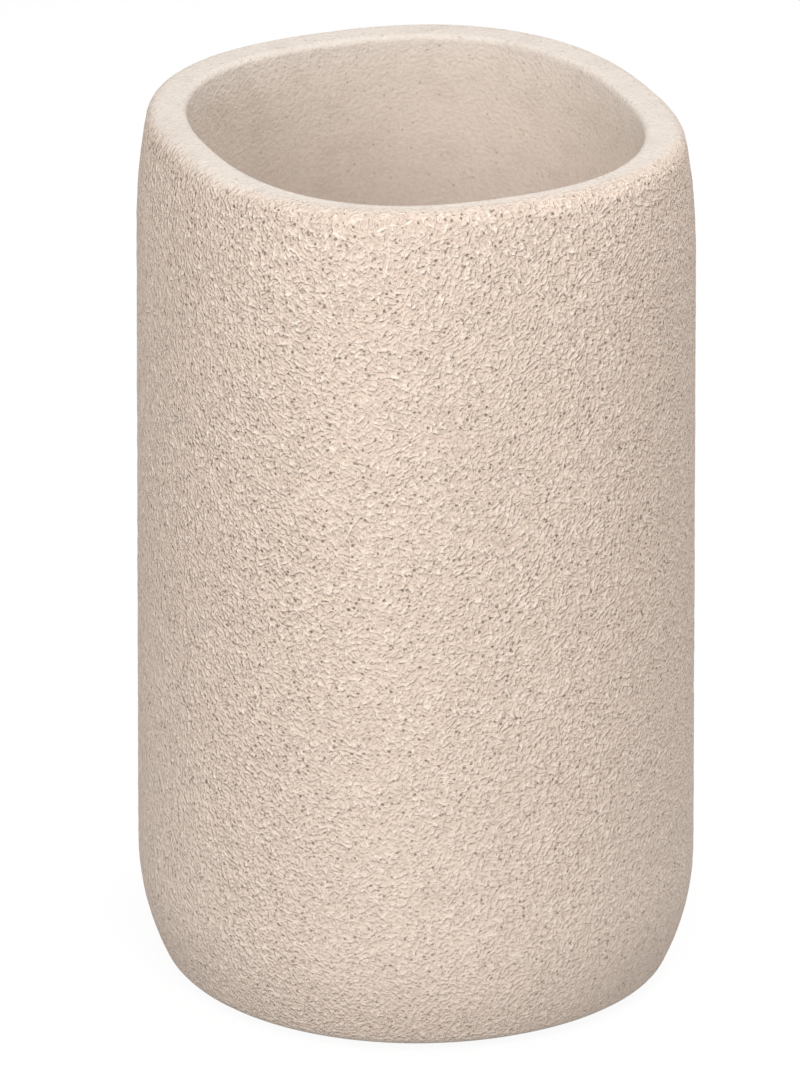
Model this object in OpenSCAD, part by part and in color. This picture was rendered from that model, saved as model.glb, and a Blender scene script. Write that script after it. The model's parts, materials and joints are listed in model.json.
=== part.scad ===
// Bathroom tumbler: a thick cast cup whose mouth is a soft rounded square
// and whose foot is nearly round, standing on four small soft pads.
// Millimetres. +Z is up, the flat sides face X and Y, and the origin is
// at the middle of the pads' undersides.

/* [Mouth] */
// Width of the body at the mouth, across the two flatter sides that face X
mouth_w = 64.8; // [60:0.2:72]
// Depth of the body at the mouth, across the two sides that face Y
mouth_d = 68.8; // [62:0.2:76]
// Squareness of the mouth's outline, where 2 is an ellipse
mouth_squareness = 2.4; // [2:0.05:3.2]

/* [Foot] */
// Width of the body at the foot, before the foot curves in
foot_w = 68.2; // [60:0.2:76]
// Depth of the body at the foot, before the foot curves in
foot_d = 70; // [62:0.2:78]
// Squareness of the foot's outline, where 2 is an ellipse
foot_squareness = 2.05; // [2:0.05:3.2]
// Radius of the wide curve that draws the foot in
foot_curve_r = 31; // [18:0.5:45]
// How far the wide curve of the foot leans, in degrees from upright
foot_curve_lean = 25.5; // [10:0.5:35]
// Radius of the tight curve that ends the foot at the flat underside
foot_edge_r = 1.6; // [0.8:0.1:4]

/* [Body] */
// Height of the cast body, from its flat underside to the top of the rim
body_h = 109; // [90:1:130]
// Radius of the wide curve that draws the shoulder in below the rim
shoulder_curve_r = 80; // [40:1:120]
// How far the shoulder leans, in degrees from upright
shoulder_curve_lean = 9.6; // [4:0.2:14]
// Radius of the rim's outer edge
rim_outer_r = 2.1; // [0.8:0.1:2.4]
// Radius of the rim's inner edge
rim_inner_r = 0.8; // [0.6:0.1:2]

/* [Cavity] */
// From the body's outline at the mouth in to the cavity's wall
wall_t = 6.1; // [5.8:0.1:9]
// How far the cavity sits off the body's middle along X, as its core settled in the mould
cavity_off_x = -0.3; // [-1:0.1:1]
// How far the cavity sits off the body's middle along Y
cavity_off_y = -0.5; // [-1:0.1:1]
// Draft that narrows the cavity on each side, from the mouth to the floor
cavity_draft = 0.4; // [0:0.1:1.5]
// Thickness of the floor
floor_t = 8; // [5:0.5:14]
// Radius where the cavity's wall turns into its floor
cavity_fillet_r = 7; // [3:0.5:12]

/* [Foot pads] */
// Diameter of a soft foot pad
pad_dia = 8; // [5:0.5:11]
// Thickness of a soft foot pad
pad_t = 1.7; // [1.2:0.1:2.8]
// Radius of the pad's lower edge
pad_edge_r = 0.5; // [0.2:0.1:0.8]
// How far the pads stand out below the body
pad_stand = 1; // [0.6:0.1:1.1]
// Thickness of the adhesive film that holds a pad in its recess
film_t = 0.15; // [0.1:0.05:0.3]
// How far the film's edge stays inside the pad's edge
film_margin = 0.3; // [0.1:0.1:0.8]
// Gap around a pad in its recess
recess_gap = 0.3; // [0.1:0.05:0.6]
// Flat underside left between a recess and the edge of the foot
recess_margin = 2.4; // [1:0.2:5]

/* [Hidden] */
// Points around each outline, and steps along a tight and a wide curve
around = 64;
tight_steps = 4;
wide_steps = 6;
wall_steps = 4;

// The four pads go by the corner of the foot that they stand under
corners = [
    ["front_left", [-1, -1]],
    ["front_right", [1, -1]],
    ["back_left", [-1, 1]],
    ["back_right", [1, 1]]
];

// A curve that leaves the upright, leans through a wide arc and then turns flat
// through a tight one. Each point is [drawn in, run up], both from the upright's end.
function turned_edge(wide_r, lean, tight_r) = [
    for (i = [0:wide_steps - 1])
        let (a = lean * i / wide_steps)
            [wide_r * (1 - cos(a)), wide_r * sin(a)],
    for (i = [0:tight_steps])
        let (a = lean + (90 - lean) * i / tight_steps)
            [wide_r * (1 - cos(lean)) + tight_r * (cos(lean) - cos(a)),
             wide_r * sin(lean) + tight_r * (sin(a) - sin(lean))]
];
function last(list) = list[len(list) - 1];
function reversed(list) = [for (i = [len(list) - 1:-1:0]) list[i]];
function mix(low, high, share) = low + (high - low) * share;

// The outside, as [drawn in, height above the underside], from the underside up
foot_edge = turned_edge(foot_curve_r, foot_curve_lean, foot_edge_r);
rim_edge = turned_edge(shoulder_curve_r, shoulder_curve_lean, rim_outer_r);
foot_top = last(foot_edge)[1];
shoulder_low = body_h - last(rim_edge)[1];
outside = [
    for (p = reversed(foot_edge)) [p[0], foot_top - p[1]],
    for (i = [1:wall_steps - 1]) [0, mix(foot_top, shoulder_low, i / wall_steps)],
    for (p = rim_edge) [p[0], shoulder_low + p[1]]
];

// The cavity, as [in from the mouth's outline, height], from the rim down
fillet_top = floor_t + cavity_fillet_r;
wall_top = body_h - rim_inner_r;
function drafted(z) = wall_t + cavity_draft * (body_h - z) / (body_h - floor_t);
cavity = [
    for (i = [0:tight_steps - 1])
        let (a = 90 * i / tight_steps)
            [wall_t - rim_inner_r * (1 - sin(a)), wall_top + rim_inner_r * cos(a)],
    for (i = [0:wall_steps - 1])
        let (z = mix(wall_top, fillet_top, i / wall_steps)) [drafted(z), z],
    for (i = [0:wide_steps])
        let (a = 90 * i / wide_steps)
            [drafted(fillet_top) + cavity_fillet_r * (1 - cos(a)),
             fillet_top - cavity_fillet_r * sin(a)]
];

// One level outline: half its width, half its depth and its squareness
function outline(half_w, half_d, squareness) = [
    for (i = [0:around - 1])
        let (a = 360 * i / around)
            [half_w * sign(cos(a)) * pow(abs(cos(a)), 2 / squareness),
             half_d * sign(sin(a)) * pow(abs(sin(a)), 2 / squareness)]
];
// The body's outline at a height, drawn in by a distance on every side
function body_outline(drawn_in, z) =
    let (share = z / body_h)
        outline(mix(foot_w, mouth_w, share) / 2 - drawn_in,
                mix(foot_d, mouth_d, share) / 2 - drawn_in,
                mix(foot_squareness, mouth_squareness, share));
// The cavity keeps the mouth's outline all the way down, a little off the middle
function cavity_outline(drawn_in) = [
    for (p = outline(mouth_w / 2 - drawn_in, mouth_d / 2 - drawn_in, mouth_squareness))
        p + [cavity_off_x, cavity_off_y]
];

// A closed skin over a stack of outlines, with a flat face on the first and the last
module skin(rings) {
    n = len(rings[0]);
    points = [for (ring = rings) each ring];
    sides = [
        for (r = [0:len(rings) - 2], i = [0:n - 1])
            let (j = (i + 1) % n, low = r * n, high = low + n)
                each [[low + i, high + i, high + j], [low + i, high + j, low + j]]
    ];
    first_face = [for (i = [0:n - 1]) i];
    last_face = [for (i = [n - 1:-1:0]) (len(rings) - 1) * n + i];
    polyhedron(points = points, faces = concat([first_face], sides, [last_face]));
}
function lifted(ring, z) = [for (p = ring) [p[0], p[1], z]];

// Each pad sits on the line from the middle of the foot to the corner of its flat
foot_drawn_in = last(foot_edge)[0];
corner_share = pow(2, -1 / foot_squareness);
flat_corner = [
    (foot_w / 2 - foot_drawn_in) * corner_share,
    (foot_d / 2 - foot_drawn_in) * corner_share
];
recess_r = pad_dia / 2 + recess_gap;
pad_at = flat_corner * (1 - (recess_r + recess_margin) / norm(flat_corner));
film_top = pad_t + film_t;
// Room below the body that the recess cutters reach into
overrun = 1;

module at_corner(side) {
    translate([side[0] * pad_at[0], side[1] * pad_at[1], 0]) children();
}

module tumbler_body() {
    color([0.85, 0.77, 0.69])
    difference() {
        translate([0, 0, pad_stand])
            skin(concat(
                [for (p = outside) lifted(body_outline(p[0], p[1]), p[1])],
                [for (p = cavity) lifted(cavity_outline(p[0]), p[1])]
            ));
        for (c = corners)
            at_corner(c[1])
                translate([0, 0, -overrun])
                    cylinder(r = recess_r, h = film_top + overrun, $fn = around);
    }
}

module foot_pad(side) {
    pad_r = pad_dia / 2;
    color([0.90, 0.90, 0.88])
    at_corner(side)
        rotate_extrude($fn = around) {
            square([pad_r - pad_edge_r, pad_t]);
            translate([0, pad_edge_r]) square([pad_r, pad_t - pad_edge_r]);
            intersection() {
                translate([pad_r - pad_edge_r, pad_edge_r]) circle(r = pad_edge_r, $fn = around);
                square([pad_r, pad_edge_r]);
            }
        }
}

module adhesive_film(side) {
    color([0.95, 0.93, 0.85])
    at_corner(side)
        translate([0, 0, pad_t])
            cylinder(r = pad_dia / 2 - film_margin, h = film_t, $fn = around);
}

tumbler_body();
for (c = corners) {
    foot_pad(c[1]);
    adhesive_film(c[1]);
}
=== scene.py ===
# %% [markdown]
# A cast bathroom tumbler. The real cup is poured in one piece from stone powder and
# resin: a thick wall, a mouth like a soft rounded square, a nearly round foot, a finely
# wrinkled outside and a smooth, paler rim. The construction model already holds its
# pieces at their real size, so it is loaded first and never moved.

# %% Load the construction model
import json
import math

import bmesh
import bpy
from mathutils import Matrix, Vector, noise

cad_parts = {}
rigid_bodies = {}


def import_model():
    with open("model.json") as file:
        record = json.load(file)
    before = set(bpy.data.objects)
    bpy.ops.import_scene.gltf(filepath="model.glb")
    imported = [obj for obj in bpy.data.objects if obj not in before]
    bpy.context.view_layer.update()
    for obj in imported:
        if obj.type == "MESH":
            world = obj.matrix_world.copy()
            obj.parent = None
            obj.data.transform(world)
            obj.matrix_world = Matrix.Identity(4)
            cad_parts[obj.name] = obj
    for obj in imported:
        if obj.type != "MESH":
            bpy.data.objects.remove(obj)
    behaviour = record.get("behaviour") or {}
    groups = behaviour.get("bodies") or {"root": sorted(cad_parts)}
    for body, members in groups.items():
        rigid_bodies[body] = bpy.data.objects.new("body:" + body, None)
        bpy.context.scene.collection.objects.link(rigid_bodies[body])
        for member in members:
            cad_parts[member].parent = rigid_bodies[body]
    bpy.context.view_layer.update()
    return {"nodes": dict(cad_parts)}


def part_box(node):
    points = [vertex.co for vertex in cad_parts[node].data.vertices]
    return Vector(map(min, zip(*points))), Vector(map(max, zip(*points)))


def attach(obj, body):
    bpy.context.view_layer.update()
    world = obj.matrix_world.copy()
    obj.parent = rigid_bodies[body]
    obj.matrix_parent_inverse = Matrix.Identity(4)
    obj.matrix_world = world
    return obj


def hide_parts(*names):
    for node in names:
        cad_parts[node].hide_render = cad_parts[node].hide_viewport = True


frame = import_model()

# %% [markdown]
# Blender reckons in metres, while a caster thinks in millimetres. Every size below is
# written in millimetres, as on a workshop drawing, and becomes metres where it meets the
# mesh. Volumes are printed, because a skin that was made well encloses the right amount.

MM = 0.001
CUBIC_MM = MM ** 3
ML = 1000 * CUBIC_MM
print("nodes:", ", ".join(sorted(frame["nodes"])))

# %% [markdown]
# The camera comes first, because every judgement of the looks is made through it. The
# picture was taken from well away with a long lens, from a little above the mouth and
# turned off the flat sides. A long lens keeps the sides of the cup upright. Its place is
# an angle round the cup, an angle above the table and a distance, and the small shift
# puts the aimed point on the pixel where the picture has it.

# %% Camera at the picture's viewing angle
PICTURE_W, PICTURE_H = 800, 1067
AIM_PIXEL_X, AIM_PIXEL_Y = 415.6, 537.4
FOCAL_PIXELS = 14043
SENSOR_MM = 36
CAMERA_TURN = math.radians(-22.0)
CAMERA_RISE = math.radians(22.25)
CAMERA_AWAY = 1720 * MM
AIM_HEIGHT = 55
AIM = Vector((0, 0, AIM_HEIGHT * MM))


def direction(turn, rise):
    """The way from the cup to something seen at a turn round it and a rise above the table."""
    return Vector((
        math.sin(turn) * math.cos(rise),
        -math.cos(turn) * math.cos(rise),
        math.sin(rise),
    ))


def add_to_scene(name, data):
    """A new object that shows in the scene."""
    thing = bpy.data.objects.new(name, data)
    bpy.context.scene.collection.objects.link(thing)
    return thing


camera = add_to_scene("camera", bpy.data.cameras.new("camera"))
camera.data.sensor_width = SENSOR_MM
camera.data.lens = FOCAL_PIXELS / PICTURE_H * SENSOR_MM
camera.data.shift_x = (PICTURE_W / 2 - AIM_PIXEL_X) / PICTURE_H
camera.data.shift_y = (AIM_PIXEL_Y - PICTURE_H / 2) / PICTURE_H
towards_camera = direction(CAMERA_TURN, CAMERA_RISE)
camera.location = AIM + towards_camera * CAMERA_AWAY
camera.rotation_euler = towards_camera.to_track_quat("Z", "Y").to_euler()
bpy.context.scene.camera = camera
print(f"lens {camera.data.lens:.0f} mm, {CAMERA_AWAY:.2f} m away")

# %% [markdown]
# The body is one closed skin. It could be carved from a block, but its section is the
# same all the way round, so a lathe is quicker: a pen draws half of the section, the
# section is spun once round the upright axis, and the round cup is then pressed to the
# rounded square of the real one. These are the sizes of the solid, in millimetres.

# %% Sizes of the cast body
MOUTH_W, MOUTH_D, MOUTH_SQUARENESS = 64.8, 68.8, 2.4
FOOT_W, FOOT_D, FOOT_SQUARENESS = 68.2, 70.0, 2.05
FOOT_CURVE_R, FOOT_CURVE_LEAN, FOOT_EDGE_R = 31.0, 25.5, 1.6
SHOULDER_CURVE_R, SHOULDER_CURVE_LEAN = 80.0, 9.6
RIM_OUTER_R, RIM_INNER_R = 2.1, 0.8
WALL_T, CAVITY_DRAFT, FLOOR_T, CAVITY_FILLET_R = 6.1, 0.4, 8.0, 7.0
CAVITY_OFF = Vector((-0.3, -0.5, 0))
body_low, body_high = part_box("tumbler_body")
UNDERSIDE = body_low.z / MM
BODY_H = body_high.z / MM - UNDERSIDE
print(f"body {BODY_H:.1f} mm tall, {UNDERSIDE:.1f} mm above the table")

# %% [markdown]
# The pen works like a drawing turtle. It stands at the end of the section and faces one
# way. A spin of its last point about a centre draws a true arc, and the same spin with
# no angle and a step draws a straight line. What the pen lays down keeps the mark of the
# point it came from, so the cavity's part of the section knows what it is.

# %% A pen that draws the section
LEAST_ARC_STEPS = 3


class Pen:
    """Draws a section in the XZ plane, from a radius and a height in millimetres."""

    def __init__(self, mesh, radius, height):
        self.mesh = mesh
        self.cavity = mesh.verts.layers.float.new("cavity")
        self.tip = mesh.verts.new((radius * MM, 0, height * MM))
        self.heading = 0.0

    def facing(self, turned=0.0):
        """The way ahead, or the way at a turn from it."""
        angle = self.heading + turned
        return Vector((math.cos(angle), 0, math.sin(angle)))

    def line(self, length, pitch):
        """Goes straight ahead, in steps of about one pitch."""
        steps = max(1, round(length / pitch))
        made = bmesh.ops.spin(
            self.mesh, geom=[self.tip], cent=self.tip.co, axis=(0, -1, 0),
            dvec=self.facing() * length * MM / steps, angle=0, steps=steps,
        )
        self.tip = made["geom_last"][0]

    def arc(self, radius, degrees, pitch):
        """Goes along an arc that turns left, or right where the degrees are below zero."""
        steps = max(LEAST_ARC_STEPS, round(math.radians(abs(degrees)) * radius / pitch))
        side = math.copysign(math.pi / 2, degrees)
        made = bmesh.ops.spin(
            self.mesh, geom=[self.tip], cent=self.tip.co + self.facing(side) * radius * MM,
            axis=(0, -1, 0), angle=math.radians(degrees), steps=steps,
        )
        self.tip = made["geom_last"][0]
        self.heading += math.radians(degrees)


# %% [markdown]
# The section starts at the edge of the flat underside, goes up the outside, over the rim
# and down to the floor of the cavity. The outside is drawn in fine steps, half a
# millimetre or so, because its wrinkles will be pushed into it.

# %% Draw the section
LATHE_R = 35.0
GRAIN_PITCH = 0.56
EDGE_PITCH = 0.34
RIM_PITCH = 0.45
CAVITY_PITCH = 5.0
FILLET_PITCH = 1.2


def drawn_in(wide_r, lean, tight_r):
    """How far a wide curve and the tight one after it go in, and how tall they are."""
    lean = math.radians(lean)
    inwards = wide_r * (1 - math.cos(lean)) + tight_r * math.cos(lean)
    return inwards, wide_r * math.sin(lean) + tight_r * (1 - math.sin(lean))


foot_in, foot_rise = drawn_in(FOOT_CURVE_R, FOOT_CURVE_LEAN, FOOT_EDGE_R)
rim_in, rim_rise = drawn_in(SHOULDER_CURVE_R, SHOULDER_CURVE_LEAN, RIM_OUTER_R)
draft_angle = math.atan(CAVITY_DRAFT / (BODY_H - FLOOR_T))
curved_h = (RIM_INNER_R + CAVITY_FILLET_R) * (1 - math.sin(draft_angle))
wall_run = (BODY_H - FLOOR_T - curved_h) / math.cos(draft_angle)
quarter_less_draft = 90 - math.degrees(draft_angle)

body = bmesh.new()
pen = Pen(body, LATHE_R - foot_in, UNDERSIDE)
pen.arc(FOOT_EDGE_R, 90 - FOOT_CURVE_LEAN, EDGE_PITCH)
pen.arc(FOOT_CURVE_R, FOOT_CURVE_LEAN, GRAIN_PITCH)
pen.line(BODY_H - foot_rise - rim_rise, GRAIN_PITCH)
pen.arc(SHOULDER_CURVE_R, SHOULDER_CURVE_LEAN, GRAIN_PITCH)
pen.arc(RIM_OUTER_R, 90 - SHOULDER_CURVE_LEAN, EDGE_PITCH)
pen.tip[pen.cavity] = 1.0
pen.line(WALL_T - RIM_INNER_R - rim_in, RIM_PITCH)
pen.arc(RIM_INNER_R, quarter_less_draft, EDGE_PITCH)
pen.line(wall_run, CAVITY_PITCH)
pen.arc(CAVITY_FILLET_R, -quarter_less_draft, FILLET_PITCH)
print(f"section of {len(body.verts)} points, cavity floor {pen.tip.co.x / MM:.1f} mm from the axis")

# %% [markdown]
# Now the lathe. The real cup isn't round: its mouth is a squarish oval and its foot
# nearly a circle. Each point is slid along its own ray from the axis until it lies on
# that oval, whose squareness is the exponent of a superellipse, and which changes up the
# height. All four quarters of the oval are alike, so one quarter is spun and pressed,
# and two mirrors that merge the points on their plane make the whole. Last, the cavity
# slides a little off the middle, because the wall of the real cup is thinner in front.
# The flat top of the rim takes up the slide, from nothing at its outer edge.

# %% Spin a quarter, press it to the rounded square and mirror it
AROUND = 400
SEAM_GAP = 0.01
HALF = 0.5
cavity_mark = pen.cavity
core_mark = body.verts.layers.float.new("core")
bmesh.ops.spin(
    body, geom=body.verts[:] + body.edges[:], cent=(0, 0, 0), axis=(0, 0, 1),
    angle=math.pi / 2, steps=AROUND // 4,
)


def mixed(low, high, share):
    """The value that lies a share of the way from low to high."""
    return low + (high - low) * share


def oval_reach(half_w, half_d, squareness, angle):
    """How far a superellipse lies from its middle at an angle."""
    across = abs(math.cos(angle) / half_w) ** squareness
    along = abs(math.sin(angle) / half_d) ** squareness
    return (across + along) ** (-1 / squareness)


def press(vertex):
    """Slides a point along its ray to its oval, and marks how far it crossed the rim's top."""
    angle = math.atan2(vertex.co.y, vertex.co.x)
    inwards = LATHE_R - vertex.co.xy.length / MM
    height = vertex.co.z / MM - UNDERSIDE
    in_cavity = vertex[cavity_mark] > HALF
    share = 1.0 if in_cavity else height / BODY_H
    top_crossed = (inwards - rim_in) / (WALL_T - RIM_INNER_R - rim_in)
    vertex[core_mark] = min(1.0, max(0.0, top_crossed)) if in_cavity else 0.0
    reach = oval_reach(
        mixed(FOOT_W, MOUTH_W, share) / 2 - inwards,
        mixed(FOOT_D, MOUTH_D, share) / 2 - inwards,
        mixed(FOOT_SQUARENESS, MOUTH_SQUARENESS, share), angle,
    )
    vertex.co.x = math.cos(angle) * reach * MM
    vertex.co.y = math.sin(angle) * reach * MM


for vertex in body.verts:
    press(vertex)
for axis in "XY":
    everything = body.verts[:] + body.edges[:] + body.faces[:]
    bmesh.ops.mirror(body, geom=everything, axis=axis, merge_dist=SEAM_GAP * MM)
for vertex in body.verts:
    vertex.co += CAVITY_OFF * vertex[core_mark] * MM
bmesh.ops.recalc_face_normals(body, faces=body.faces)
print(f"{len(body.faces)} faces after the lathe, volume {body.calc_volume() / ML:.0f} ml")

# %% [markdown]
# The two ends of the skin are still open. In the real cup the cavity ends in a flat floor
# that a wide fillet joins to the wall. A patch of quads could fill it, but it is flat, so
# one face closes it, and three insets break that face into rings, which keeps the light
# on it even.

# %% Close the cavity's floor
FLOOR_RING, FLOOR_RINGS = 4.5, 3
LEVEL_WITHIN = 0.01


def is_level(edge, height):
    """Whether both ends of an edge lie at a height, given in millimetres."""
    return all(abs(end.co.z / MM - height) < LEVEL_WITHIN for end in edge.verts)


def open_loop(mesh, height):
    """The edges with a face on one side only that lie at a height."""
    return [edge for edge in mesh.edges if edge.is_boundary and is_level(edge, height)]


CAVITY_FLOOR = UNDERSIDE + FLOOR_T
floor_face = bmesh.ops.contextual_create(body, geom=open_loop(body, CAVITY_FLOOR))["faces"]
for ring in range(FLOOR_RINGS):
    bmesh.ops.inset_individual(body, faces=floor_face, thickness=FLOOR_RING * MM)
for vertex in body.verts:
    if abs(vertex.co.z / MM - CAVITY_FLOOR) < LEVEL_WITHIN:
        vertex[cavity_mark] = 1.0
print(f"floor of the cavity at {CAVITY_FLOOR:.1f} mm, in {FLOOR_RINGS + 1} rings")

# %% [markdown]
# Underneath, the cup is ground flat, and four shallow recesses in it hold the soft feet.
# They could be cut out with booleans. A fill between loops is cleaner: the outline and
# four circles are given together, the fill leaves the circles open, and each one is then
# raised to its ceiling. A small bevel takes the sharpness off their edges, as in a mould.

# %% Close the underside, with a recess over each foot
CORNERS = ("front_left", "front_right", "back_left", "back_right")
RECESS_GAP, RECESS_EDGE = 0.3, 0.2
RECESS_SEGMENTS, RECESS_EDGE_STEPS = 48, 2
ROUND_PROFILE = 0.5


def middle_of(node):
    """The middle of a construction node's box."""
    low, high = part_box(node)
    return (low + high) / 2


def radius_of(node):
    """The radius of an upright round node."""
    low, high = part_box(node)
    return (high.x - low.x) / 2


def circle_edges(mesh, centre, radius, segments):
    """A ring of edges with no face, lying level round a centre."""
    made = bmesh.ops.create_circle(
        mesh, segments=segments, radius=radius, matrix=Matrix.Translation(centre))
    return list({edge for vertex in made["verts"] for edge in vertex.link_edges})


underside_loop = open_loop(body, UNDERSIDE)
recess_loops = []
for corner in CORNERS:
    pad = "foot_pad_" + corner
    centre = middle_of(pad)
    centre.z = UNDERSIDE * MM
    recess_r = radius_of(pad) + RECESS_GAP * MM
    recess_loops.append(circle_edges(body, centre, recess_r, RECESS_SEGMENTS))
holes = [edge for loop in recess_loops for edge in loop]
bmesh.ops.triangle_fill(body, use_beauty=True, edges=underside_loop + holes, normal=(0, 0, -1))

for corner, loop in zip(CORNERS, recess_loops):
    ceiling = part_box("adhesive_film_" + corner)[1].z
    raised = bmesh.ops.extrude_edge_only(body, edges=loop)["geom"]
    raised_edges = [part for part in raised if isinstance(part, bmesh.types.BMEdge)]
    raised_points = [part for part in raised if isinstance(part, bmesh.types.BMVert)]
    bmesh.ops.translate(body, verts=raised_points, vec=(0, 0, ceiling - UNDERSIDE * MM))
    bmesh.ops.contextual_create(body, geom=raised_edges)
bmesh.ops.bevel(
    body, geom=holes, offset=RECESS_EDGE * MM, affect="EDGES", segments=RECESS_EDGE_STEPS,
    profile=ROUND_PROFILE, material=-1,
)
bmesh.ops.recalc_face_normals(body, faces=body.faces)
gaps = sum(not edge.is_manifold for edge in body.edges)
print(f"{len(recess_loops)} recesses, {gaps} open edges, {body.calc_volume() / ML:.1f} ml of stone")

# %% [markdown]
# The outside of the real cup is wrinkled like fine leather, while its rim is rubbed
# smooth, and the wrinkles end in a soft border at the rim. To place that border, every
# point needs its distance from the rim's flat top, counted along the skin. It could be
# walked edge by edge, but the rounded edge is an arc, so its angle gives the way at once.

# %% How far a point lies from the rim's flat top
TOP = UNDERSIDE + BODY_H
TOP_FLAT_W = WALL_T - RIM_INNER_R - rim_in


def eased(value, start, end):
    """0 before start, 1 after end, and a soft step between them."""
    share = min(1.0, max(0.0, (value - start) / (end - start)))
    return share * share * (3 - 2 * share)


def run_below_top(vertex):
    """The way along the skin from the flat top's outer edge, in millimetres, down the outside."""
    if vertex[cavity_mark] > HALF:
        return -vertex[core_mark] * TOP_FLAT_W
    depth = TOP - vertex.co.z / MM
    round_part = min(1.0, max(0.0, depth / RIM_OUTER_R))
    return RIM_OUTER_R * math.acos(1 - round_part) + max(0.0, depth - RIM_OUTER_R)


print(f"the rim's flat top is {TOP_FLAT_W:.1f} mm wide")

# %% [markdown]
# Now marks are painted on the skin: where it is wrinkled and how roughly, what is rim, and
# what lies near the mouth of the cavity. A mark is a number on each point, which the
# finish reads later as an attribute. In front the wrinkles climb onto the flat top, and
# their border wanders, because a casting never changes along a line. They are calmer
# near the foot, where the mould wears most, and deeper on the left side.

# %% Mark the wrinkled skin, the rim and the mouth
RIM_FADE, CAVITY_RIM_FADE, MOUTH_FADE = 1.2, 2.2, (3.0, 20.0)
WRINKLE_BORDER, WRINKLE_BORDER_FRONT = (0.2, 3.2), (-1.6, 1.4)
FRONT_TURN, FRONT_REACH = math.radians(-95), (0.35, 0.95)
UNDERSIDE_FADE = 1.2
CALM_SHARE, CALM_HEIGHTS = 0.78, (5.0, 60.0)
ROUGH_SHARE, ROUGH_TURN, ROUGH_REACH = 1.6, math.radians(-165), (0.68, 1.0)
BORDER_WANDER, BORDER_WANDER_SIZE = 0.45, 2.2


def faces(vertex, turn, reach):
    """How far the cup faces a turn at a point, from 0 to 1, between two cosines."""
    off = math.atan2(vertex.co.y, vertex.co.x) - turn
    return eased(math.cos(off), *reach)


wrinkled_mark = body.verts.layers.float.new("wrinkled")
rough_mark = body.verts.layers.float.new("rough")
rim_mark = body.verts.layers.float.new("rim")
mouth_mark = body.verts.layers.float.new("mouth")
for vertex in body.verts:
    wander = noise.noise(vertex.co / (BORDER_WANDER_SIZE * MM)) * BORDER_WANDER
    depth = TOP - vertex.co.z / MM
    lifted = BODY_H - depth
    inside = vertex[cavity_mark] > HALF
    rim_fade = CAVITY_RIM_FADE if inside else RIM_FADE
    vertex[rim_mark] = 1 - eased(depth, 0, rim_fade)
    vertex[mouth_mark] = 1 - eased(depth, *MOUTH_FADE)
    front = faces(vertex, FRONT_TURN, FRONT_REACH)
    border = [mixed(*ends, front) for ends in zip(WRINKLE_BORDER, WRINKLE_BORDER_FRONT)]
    wrinkled = eased(run_below_top(vertex) + wander, *border)
    calm = mixed(CALM_SHARE, 1, eased(lifted, *CALM_HEIGHTS))
    vertex[wrinkled_mark] = wrinkled * calm * eased(lifted, 0, UNDERSIDE_FADE)
    vertex[rough_mark] = mixed(1, ROUGH_SHARE, faces(vertex, ROUGH_TURN, ROUGH_REACH))
marked = sum(vertex[wrinkled_mark] > HALF for vertex in body.verts)
print(f"{marked} of {len(body.verts)} points are wrinkled skin")

# %% [markdown]
# The broader part of the wrinkles is real relief, so it shows in the light from every
# side and in the outline. Every point sinks about a tenth of a millimetre along its
# normal by smooth noise of three sizes. It only ever sinks, so the cup keeps its size.
# The finest wrinkles are smaller than the mesh, and the finish adds those.

# %% Sink the broad wrinkles into the skin
WRINKLE_SIZES = ((1.25, 0.10), (2.4, 0.06), (8.0, 0.04))
CAVITY_UNEVEN_SIZE, CAVITY_UNEVEN = 9.0, 0.08
ABOVE_FLOOR = 1.0


def sunk(place, size, deepest):
    """How far smooth noise of one size sinks a place, from nothing to the deepest."""
    return deepest * (1 + noise.noise(place / (size * MM))) / 2


body.normal_update()
resting = {}
for vertex in body.verts:
    wrinkles = sum(sunk(vertex.co, size, deepest) for size, deepest in WRINKLE_SIZES)
    uneven = sunk(vertex.co, CAVITY_UNEVEN_SIZE, CAVITY_UNEVEN) * vertex[cavity_mark]
    inside_wall = vertex.co.z / MM > CAVITY_FLOOR + ABOVE_FLOOR
    uneven = uneven * (1 - vertex[rim_mark]) if inside_wall else 0
    resting[vertex] = vertex.co - vertex.normal * (wrinkles * vertex[wrinkled_mark] + uneven) * MM
for vertex, place in resting.items():
    vertex.co = place
print(f"{len(resting)} points settled")

# %% [markdown]
# The skin is finished, so it becomes an object. It is smooth all over, and only the
# ground underside is shaded flat, with the crisp edge that grinding leaves. The frame is
# told that this piece rides with the one body of the part, and that it is seen in place
# of the plain solid of the construction model.

# %% Turn the skin into the body piece
FLAT_WITHIN = 0.0001


def finished_piece(name, mesh, flat=None):
    """A scene object from a bmesh, smooth except for the faces that are flat."""
    for face in mesh.faces:
        face.smooth = flat is None or not flat(face)
    data = bpy.data.meshes.new(name)
    mesh.to_mesh(data)
    mesh.free()
    return add_to_scene(name, data)


def is_ground_flat(face):
    """Whether a face looks straight down."""
    return face.normal.z < FLAT_WITHIN - 1


cup = finished_piece("cast_body", body, is_ground_flat)
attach(cup, "root")
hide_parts("tumbler_body")
triangles = sum(len(face.vertices) - 2 for face in cup.data.polygons)
print(f"cast body: {triangles} triangles")

# %% [markdown]
# A finish is a tree of nodes, and most of a tree is arithmetic on masks. Wiring that by
# hand is slow to read, so one small class wraps a socket: a sum or product of wires adds
# the Math nodes, and one method adds any other node from its type, its settings and what
# goes into its sockets.

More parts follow.
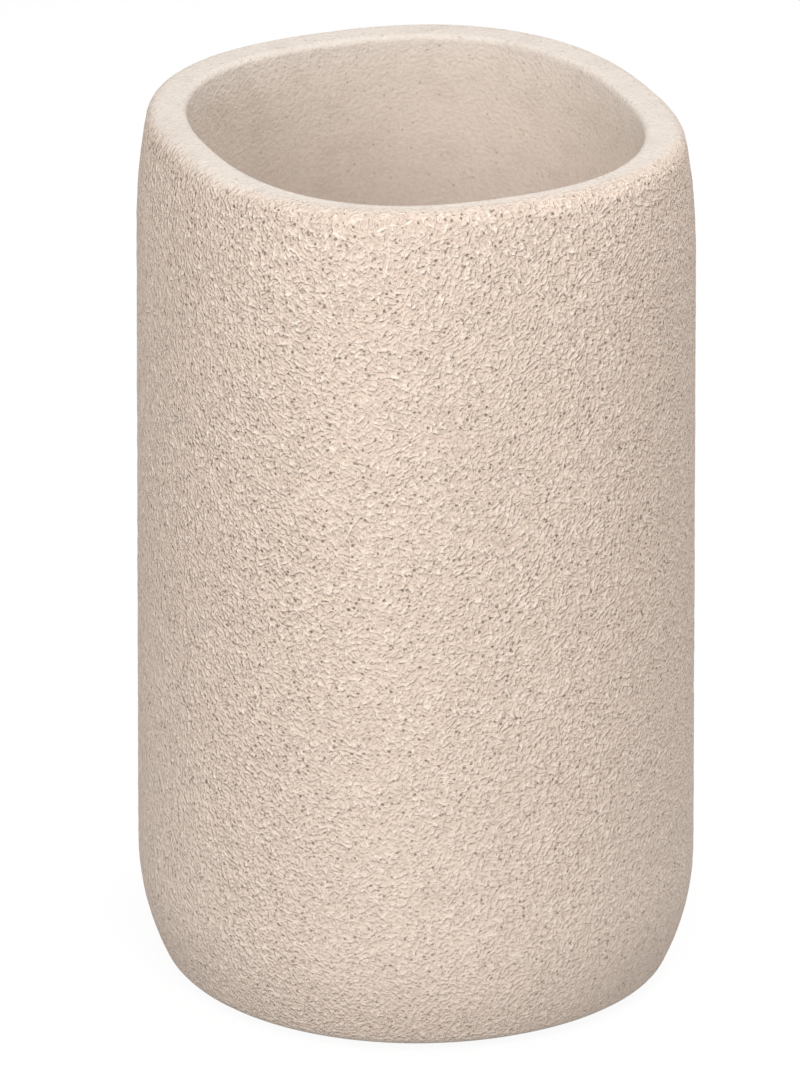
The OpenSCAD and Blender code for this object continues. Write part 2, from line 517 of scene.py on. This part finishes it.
# %% Wires that can be reckoned with
class Wire:
    """A socket of a node tree that can be added to, multiplied and taken away."""

    def __init__(self, tree, socket=None):
        self.tree = tree
        self.socket = socket

    def node(self, kind, settings, values, out=0):
        """Adds a node of a kind, and returns one of its outputs."""
        made = self.tree.nodes.new(kind)
        for name, setting in settings.items():
            setattr(made, name, setting)
        for name, value in values.items():
            if isinstance(value, Wire):
                self.tree.links.new(value.socket, made.inputs[name])
            else:
                made.inputs[name].default_value = value
        return Wire(self.tree, made.outputs[out] if made.outputs else None)

    def reckon(self, operation, left, right):
        """A Math node on two values or wires."""
        return self.node("ShaderNodeMath", {"operation": operation}, {0: left, 1: right})

    def __add__(self, other):
        return self.reckon("ADD", self, other)

    def __sub__(self, other):
        return self.reckon("SUBTRACT", self, other)

    def __mul__(self, other):
        return self.reckon("MULTIPLY", self, other)

    def __rsub__(self, other):
        return self.reckon("SUBTRACT", other, self)

    __radd__ = __add__
    __rmul__ = __mul__

    def step(self, start, end):
        """0 where the value is under start, 1 where it is over end, eased between them."""
        values = {"Value": self, "From Min": start, "From Max": end}
        return self.node("ShaderNodeMapRange", {"interpolation_type": "SMOOTHSTEP"}, values)

    def tint(self, low, high):
        """A colour that goes from low to high with this mask."""
        return self.node(
            "ShaderNodeMix", {"data_type": "RGBA"}, {0: self, 6: low, 7: high}, out=2)

    def noise(self, place, size, detail=0.0, bend=0.0):
        """Smooth noise from 0 to 1, whose lumps have a size in millimetres."""
        values = {
            "Vector": place, "Scale": 1 / (size * MM), "Detail": detail, "Distortion": bend,
        }
        return self.node("ShaderNodeTexNoise", {}, values)

    def specks(self, place, size):
        """The distance to the nearest of some points, scattered a size apart."""
        values = {"Vector": place, "Scale": 1 / (size * MM)}
        return self.node("ShaderNodeTexVoronoi", {}, values)

    def also(self, out):
        """Another output of the node that this wire comes from."""
        return Wire(self.tree, self.socket.node.outputs[out])

    def lot(self):
        """A number from 0 to 1 that is drawn for each of the scattered points."""
        return self.node("ShaderNodeSeparateColor", {}, {0: self.also("Color")})


def colour(red, green, blue):
    """A colour with no transparency."""
    return (red, green, blue, 1.0)


def new_finish(name):
    """An empty material, and a wire to start its tree from."""
    finish = bpy.data.materials.new(name)
    finish.use_nodes = True
    finish.node_tree.nodes.clear()
    return finish, Wire(finish.node_tree)


def close_finish(start, surface):
    """Gives a finish its surface."""
    start.node("ShaderNodeOutputMaterial", {}, {"Surface": surface})


# %% [markdown]
# The stone comes first in relief. The real skin took its wrinkles from the mould, and the
# eye picks out short dashes in them that cross each other. Noise that is drawn out along
# one way gives dashes. They have to run along the skin, so the place is first unrolled
# like a label: the way around from the front, and the way up. Four leans, shared out in
# patches by slower noise, let the dashes cross. The label's ends meet at the back, where
# the dashes fade out, so that no seam shows.

# %% Short dashes that cross on the skin
DASH_SIZE, DASH_DRAWN_OUT, DASH_BEND = 0.40, 2.5, 0.3
DASH_LEANS = [math.radians(lean) for lean in (-62, -25, 38, 70)]
DASH_EDGE = (0.34, 0.66)
PATCH_SIZES, PATCH_EDGE = (2.2, 2.5), (0.44, 0.56)
SKIN_R = 34.0
SEAM_NEAR, SEAM_AT = 0.09, 0.015
SEAM = ((math.pi - SEAM_NEAR) ** 2, (math.pi - SEAM_AT) ** 2)

cast_stone, start = new_finish("cast_stone")
place = start.node("ShaderNodeTexCoord", {}, {}, "Object")
across = start.node("ShaderNodeSeparateXYZ", {}, {0: place}, "X")
upright = across.also("Z")
turn = start.reckon("ARCTAN2", across, 0 - across.also("Y"))
around = turn * (SKIN_R * MM)


def dashes(lean):
    """Noise from 0 to 1, drawn out along a way that leans off the level."""
    along = around * math.cos(lean) + upright * math.sin(lean)
    beside = upright * math.cos(lean) - around * math.sin(lean)
    drawn_out = start.node("ShaderNodeCombineXYZ", {}, {0: along * (1 / DASH_DRAWN_OUT), 1: beside})
    return start.noise(drawn_out, DASH_SIZE, bend=DASH_BEND)


patches = [start.noise(place, size).step(*PATCH_EDGE) for size in PATCH_SIZES]
steep_falling, falling, rising, steep_rising = [dashes(lean) for lean in DASH_LEANS]
all_falling = mixed(steep_falling, falling, patches[0])
all_rising = mixed(rising, steep_rising, patches[0])
dash = mixed(all_falling, all_rising, patches[1]).step(*DASH_EDGE)
dash = (dash - HALF) * (1 - (turn * turn).step(*SEAM))
print(f"dashes {DASH_SIZE * DASH_DRAWN_OUT:.1f} mm long, with {len(DASH_LEANS)} leans")

# %% [markdown]
# Dashes alone would look like felt. The mould also left small plates with steep edges,
# finer lumps on them and a slow swell below. Noise of three sizes gives these, and
# stepping the bent one makes its tops flat. The marks then say how much of the relief
# each place keeps: nearly all on the skin, a hint elsewhere. One small function makes a
# mark of the mesh readable in the tree.

# %% The relief of the cast stone
WRINKLE_DEPTH = 0.47
LUMP_SIZE, LUMP_SHARE = 0.43, 0.66
PLATE_SIZE, PLATE_BEND, PLATE_SHARE = 0.60, 1.3, 0.20
PLATE_EDGE = (0.33, 0.64)
SWELL_SIZE, SWELL_SHARE = 0.9, 0.35
DASH_SHARE = 0.27
SKIN_ROUGH, RIM_ROUGH, MOUTH_ROUGH, LEAST_ROUGH = 0.68, 0.13, 0.10, 0.14


def mark(name):
    """One of the marks that were painted on the mesh."""
    return start.node("ShaderNodeAttribute", {"attribute_name": name}, {}, "Fac")


wrinkled = mark("wrinkled")
rough = mark("rough")
rim = mark("rim")
mouth = mark("mouth")
lumps = start.noise(place, LUMP_SIZE)
plates = start.noise(place, PLATE_SIZE, bend=PLATE_BEND).step(*PLATE_EDGE)
swell = start.noise(place, SWELL_SIZE)
height = lumps * LUMP_SHARE + plates * PLATE_SHARE + swell * SWELL_SHARE
height = height + dash * wrinkled * DASH_SHARE
skin_rough = wrinkled * rough * SKIN_ROUGH
rough_share = skin_rough + rim * RIM_ROUGH + mouth * MOUTH_ROUGH + LEAST_ROUGH
print(f"relief in {len(cast_stone.node_tree.nodes)} nodes, {WRINKLE_DEPTH} mm deep")

# %% [markdown]
# Casting leaves tiny air bubbles. On the skin they open as dark pinholes in the lowest
# places of the relief. On the rim and in the cavity only some larger ones show, most of
# them near the mouth, where the air collects. Both are scattered points that grow to
# spots, and a number drawn for each point decides which of the larger ones are there.

# %% Pinholes and specks
PINHOLE_SPACING, PINHOLE_EDGE = 0.75, (0.10, 0.32)
LOWEST = (0.45, 0.65)
PINHOLE_DEPTH = 0.4
SPECK_SPACING, SPECK_EDGE = 1.15, (0.05, 0.22)
SPECK_LOTS, MOUTH_LOTS = (0.25, 0.90), 0.25

spot = start.specks(place, PINHOLE_SPACING)
pinhole = (1 - spot.step(*PINHOLE_EDGE)) * (1 - height.step(*LOWEST)) * wrinkled
spot = start.specks(place, SPECK_SPACING)
there = (spot.lot() + mouth * MOUTH_LOTS).step(*SPECK_LOTS)
speck = (1 - spot.step(*SPECK_EDGE)) * there * (1 - wrinkled)
relief = (height - pinhole * PINHOLE_DEPTH) * rough_share
print(f"pinholes every {PINHOLE_SPACING} mm, specks every {SPECK_SPACING} mm at most")

# %% [markdown]
# The colour follows the surface. The skin is warm sand, with a painted highlight on its
# crests and a little painted shade in its pits. The rim and the cavity are greyer, and
# faint clouds run through all of it, as stone powder never mixes quite evenly. Where the
# skin is smooth, the grains of the stone also show as a fine mottle.

# %% The colours of the cast stone
STONE_SKIN = colour(0.885, 0.720, 0.602)
# The crest colour is a painted highlight.
CREST_HIGHLIGHT_COLOUR = colour(1.0, 0.875, 0.76)
STONE_RIM = colour(0.805, 0.722, 0.648)
STONE_CAVITY = colour(0.78, 0.683, 0.596)
# This colour is also the painted shade in the pits and the pinholes.
STONE_SHADE = colour(0.30, 0.22, 0.165)
# Where the painted highlight lies on the crests, and how strong it is on and off the skin.
CREST_HIGHLIGHT_HEIGHTS, CREST_HIGHLIGHT_ON_SKIN, CREST_HIGHLIGHT_ELSEWHERE = (0.715, 0.965), 0.9, 0.1
# Where the painted shade lies in the pits, and how strong it is on and off the skin.
PIT_SHADE_HEIGHTS, PIT_SHADE_ON_SKIN, PIT_SHADE_ELSEWHERE = (0.405, 0.705), 0.10, 0.05
CLOUD_SIZE, CLOUD, CLOUD_DETAIL = 3.6, (0.45, 0.75), 2.0
CLOUD_SHARE, CLOUD_CALM = 0.10, 0.5
MOTTLE_SIZE, MOTTLE, MOTTLE_SHARE = 0.5, (0.45, 0.75), 0.07
PINHOLE_PAINTED_SHADE, SPECK_SHADE = 0.65, 0.45

in_cavity = mark("cavity") * (1 - rim)
stone = in_cavity.tint(wrinkled.tint(STONE_RIM, STONE_SKIN), STONE_CAVITY)
cloud = start.noise(place, CLOUD_SIZE, detail=CLOUD_DETAIL).step(*CLOUD)
stone = (cloud * (1 - wrinkled * CLOUD_CALM) * CLOUD_SHARE).tint(stone, STONE_SHADE)
mottle = start.noise(place, MOTTLE_SIZE).step(*MOTTLE) * (1 - wrinkled)
stone = (mottle * MOTTLE_SHARE).tint(stone, STONE_SHADE)
# Painted highlight: the highest places of the relief get a paler colour.
crest_highlight = height.step(*CREST_HIGHLIGHT_HEIGHTS) * (wrinkled * CREST_HIGHLIGHT_ON_SKIN + CREST_HIGHLIGHT_ELSEWHERE)
stone = crest_highlight.tint(stone, CREST_HIGHLIGHT_COLOUR)
# Painted shade: the lowest places of the relief and the pinholes get a darker colour.
pit_shade = (1 - height.step(*PIT_SHADE_HEIGHTS)) * (wrinkled * PIT_SHADE_ON_SKIN + PIT_SHADE_ELSEWHERE)
stone = (pit_shade + pinhole * PINHOLE_PAINTED_SHADE + speck * SPECK_SHADE).tint(stone, STONE_SHADE)
print(f"colours in {len(cast_stone.node_tree.nodes)} nodes so far")

# %% [markdown]
# One shader takes it all. Cast stone is matte, so it is rough and reflects little. The
# relief goes through a bump node, which tilts the light on a place but moves nothing:
# that is right for wrinkles finer than the mesh, now that the mesh holds the broad ones.

# %% Put the stone on the cup
STONE_ROUGHNESS, STONE_SHEEN = 0.85, 0.25


def matte_surface(base, relief, depth, roughness, sheen):
    """A rough surface with a relief, whose depth is in millimetres."""
    bump = start.node(
        "ShaderNodeBump", {}, {"Height": relief, "Distance": depth * MM, "Strength": 1.0})
    return start.node("ShaderNodeBsdfPrincipled", {}, {
        "Base Color": base, "Normal": bump, "Roughness": roughness,
        "Specular IOR Level": sheen,
    })


def give_finish(thing, finish):
    """Puts a finish in an object's own material slots, and adds a slot if it has none."""
    if not thing.material_slots:
        thing.data.materials.append(finish)
    for slot in thing.material_slots:
        slot.link = "OBJECT"
        slot.material = finish


surface = matte_surface(stone, relief, WRINKLE_DEPTH, STONE_ROUGHNESS, STONE_SHEEN)
close_finish(start, surface)
give_finish(cup, cast_stone)
give_finish(frame["nodes"]["tumbler_body"], cast_stone)
print(f"cast stone: {len(cast_stone.node_tree.nodes)} nodes")

# %% [markdown]
# Under the cup sit four soft discs, so that stone never scrapes or slides on a basin.
# The real ones are punched from a silicone sheet, and their lower edge is moulded
# round. Each is made as it looks: a circle, raised to a disc, with its edges bevelled.
# The place, the radius and the height come from the pad of the construction model.

# %% Four soft feet
FOOT_SEGMENTS = 64
FOOT_LOW_EDGE, FOOT_TOP_EDGE = 0.5, 0.12
FOOT_EDGE_STEPS = 4


def soft_foot(corner):
    """A soft disc in the place of one foot pad."""
    pad = "foot_pad_" + corner
    low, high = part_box(pad)
    centre = middle_of(pad)
    centre.z = low.z
    disc = bmesh.new()
    bmesh.ops.create_circle(
        disc, cap_ends=True, segments=FOOT_SEGMENTS, radius=radius_of(pad),
        matrix=Matrix.Translation(centre))
    raised = bmesh.ops.extrude_face_region(disc, geom=disc.faces[:])["geom"]
    points = [part for part in raised if isinstance(part, bmesh.types.BMVert)]
    bmesh.ops.translate(disc, verts=points, vec=(0, 0, high.z - low.z))
    for height, edge_r in ((low.z, FOOT_LOW_EDGE), (high.z, FOOT_TOP_EDGE)):
        bmesh.ops.bevel(
            disc, geom=[edge for edge in disc.edges if is_level(edge, height / MM)],
            offset=edge_r * MM, affect="EDGES", segments=FOOT_EDGE_STEPS,
            profile=ROUND_PROFILE, material=-1,
        )
    bmesh.ops.recalc_face_normals(disc, faces=disc.faces)
    open_edges = sum(not edge.is_manifold for edge in disc.edges)
    print(f"soft foot {corner}: {open_edges} open edges, {disc.calc_volume() / CUBIC_MM:.1f} mm3")
    foot = finished_piece("soft_foot_" + corner, disc, is_ground_flat)
    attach(foot, "root")
    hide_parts(pad)
    return foot


feet = [soft_foot(corner) for corner in CORNERS]

# %% [markdown]
# Silicone is milky and a little greasy, so dust dulls it in patches, and the patches
# change its colour and its roughness alike. The film that glues each disc into its
# recess is nearly out of sight. Its solid is already right, so it stays as it is and
# only gets a finish: a yellowish acrylic with small bubbles pressed flat.

# %% The feet's rubber and the film's glue
RUBBER_CLEAN, RUBBER_DULL = colour(0.80, 0.80, 0.77), colour(0.68, 0.67, 0.63)
DUST_SIZE, DUST_DETAIL = 1.6, 3.0
RUBBER_ROUGHNESS, DUST_ROUGHNESS, RUBBER_SHEEN = 0.45, 0.25, 0.4
RUBBER_GRAIN_SIZE, RUBBER_GRAIN_DEPTH = 0.12, 0.01
GLUE, GLUE_BUBBLE = colour(0.84, 0.80, 0.68), colour(0.93, 0.91, 0.85)
BUBBLE_SPACING, BUBBLE_EDGE, BUBBLE_DEPTH = 0.5, (0.15, 0.30), 0.02
GLUE_ROUGHNESS, GLUE_SHEEN = 0.35, 0.5

pad_rubber, start = new_finish("pad_rubber")
place = start.node("ShaderNodeTexCoord", {}, {}, "Object")
dust = start.noise(place, DUST_SIZE, detail=DUST_DETAIL)
rubber = dust.tint(RUBBER_CLEAN, RUBBER_DULL)
roughness = dust * DUST_ROUGHNESS + RUBBER_ROUGHNESS
grain = start.noise(place, RUBBER_GRAIN_SIZE)
surface = matte_surface(rubber, grain, RUBBER_GRAIN_DEPTH, roughness, RUBBER_SHEEN)
close_finish(start, surface)

adhesive, start = new_finish("adhesive")
place = start.node("ShaderNodeTexCoord", {}, {}, "Object")
bubble = 1 - start.specks(place, BUBBLE_SPACING).step(*BUBBLE_EDGE)
surface = matte_surface(
    bubble.tint(GLUE, GLUE_BUBBLE), bubble, BUBBLE_DEPTH, GLUE_ROUGHNESS, GLUE_SHEEN)
close_finish(start, surface)

for corner, foot in zip(CORNERS, feet):
    give_finish(foot, pad_rubber)
    give_finish(frame["nodes"]["foot_pad_" + corner], pad_rubber)
    give_finish(frame["nodes"]["adhesive_film_" + corner], adhesive)
print("finishes:", ", ".join(finish.name for finish in bpy.data.materials))

# %% [markdown]
# The picture shows the cup on white, with hardly a shadow. The floor is a pale sheet. The
# camera sees it as nearly pure white, and so do reflections, while its light on the cup
# stays that of a grey sheet, so that nothing clips. The Light Path node tells those rays
# apart. Some of the plain sheet stays in what the camera sees, and with it the shadow.

# %% The floor
FLOOR_SPAN = 3000
FLOOR_BELOW = 0.05
FLOOR_GREY = colour(0.53, 0.53, 0.53)
WHITE = colour(1, 1, 1)
FLOOR_GLOW, FLOOR_GLOW_SHARE = 1.10, 0.85


def seen_directly(start):
    """1 for a ray from the camera, a reflection or a view through glass, 0 for plain light."""
    path = start.node("ShaderNodeLightPath", {}, {}, "Is Camera Ray")
    seen = path.reckon("MAXIMUM", path, path.also("Is Glossy Ray"))
    return seen.reckon("MAXIMUM", seen, path.also("Is Transmission Ray"))


ground = bmesh.new()
bmesh.ops.create_grid(
    ground, x_segments=1, y_segments=1, size=FLOOR_SPAN / 2 * MM,
    matrix=Matrix.Translation((0, 0, -FLOOR_BELOW * MM)))
floor = finished_piece("floor", ground)

floor_white, start = new_finish("floor_white")
sheet = start.node("ShaderNodeBsdfDiffuse", {}, {"Color": FLOOR_GREY})
glow = start.node("ShaderNodeEmission", {}, {"Color": WHITE, "Strength": FLOOR_GLOW})
glow_share = seen_directly(start) * FLOOR_GLOW_SHARE
close_finish(start, start.node("ShaderNodeMixShader", {}, {0: glow_share, 1: sheet, 2: glow}))
give_finish(floor, floor_white)
print(f"floor {FLOOR_SPAN / 1000:.0f} m wide, {FLOOR_BELOW} mm below the feet")

# %% [markdown]
# The rest of the light comes from the sky and from softboxes. The sky is the even light
# of a white room, and the camera again sees it as white. It alone would leave the cup
# flat, so three round softboxes shape it: a weaker one from the left, the main one from
# above the camera, and one from the far right that keeps the dark side open.

# %% The sky
SKY_LEVEL = 0.42

sky = bpy.data.worlds.new("sky")
sky.use_nodes = True
sky.node_tree.nodes.clear()
bpy.context.scene.world = sky
start = Wire(sky.node_tree)
strength = seen_directly(start) * (1 - SKY_LEVEL) + SKY_LEVEL
light = start.node("ShaderNodeBackground", {}, {"Color": WHITE, "Strength": strength})
start.node("ShaderNodeOutputWorld", {}, {"Surface": light})
print(f"the sky lights at {SKY_LEVEL} and shows as white")

# %% [markdown]
# A softbox's level is the brightness that it gives to a white sheet facing it, so its
# level and the sky's can be compared and simply add up. Its power follows from that: it
# grows with the square of the distance. All three point at the middle of the cup.

# %% The softboxes
SOFTBOXES = (
    ("softbox_left", -55, 26, 0.285),
    ("softbox_front", -20, 45, 0.415),
    ("softbox_back_right", 100, 55, 0.30),
)
SOFTBOX_AWAY, SOFTBOX_SPAN = 700, 300

for name, turn, rise, level in SOFTBOXES:
    softbox = add_to_scene(name, bpy.data.lights.new(name, "AREA"))
    softbox.data.shape = "DISK"
    softbox.data.size = SOFTBOX_SPAN * MM
    softbox.data.energy = level * math.pi ** 2 * (SOFTBOX_AWAY * MM) ** 2
    towards = direction(math.radians(turn), math.radians(rise))
    softbox.location = AIM + towards * SOFTBOX_AWAY * MM
    softbox.rotation_euler = towards.to_track_quat("Z", "Y").to_euler()
    print(f"{name}: {softbox.data.energy:.2f} W for a level of {level}")
bpy.context.scene.view_settings.view_transform = "Standard"
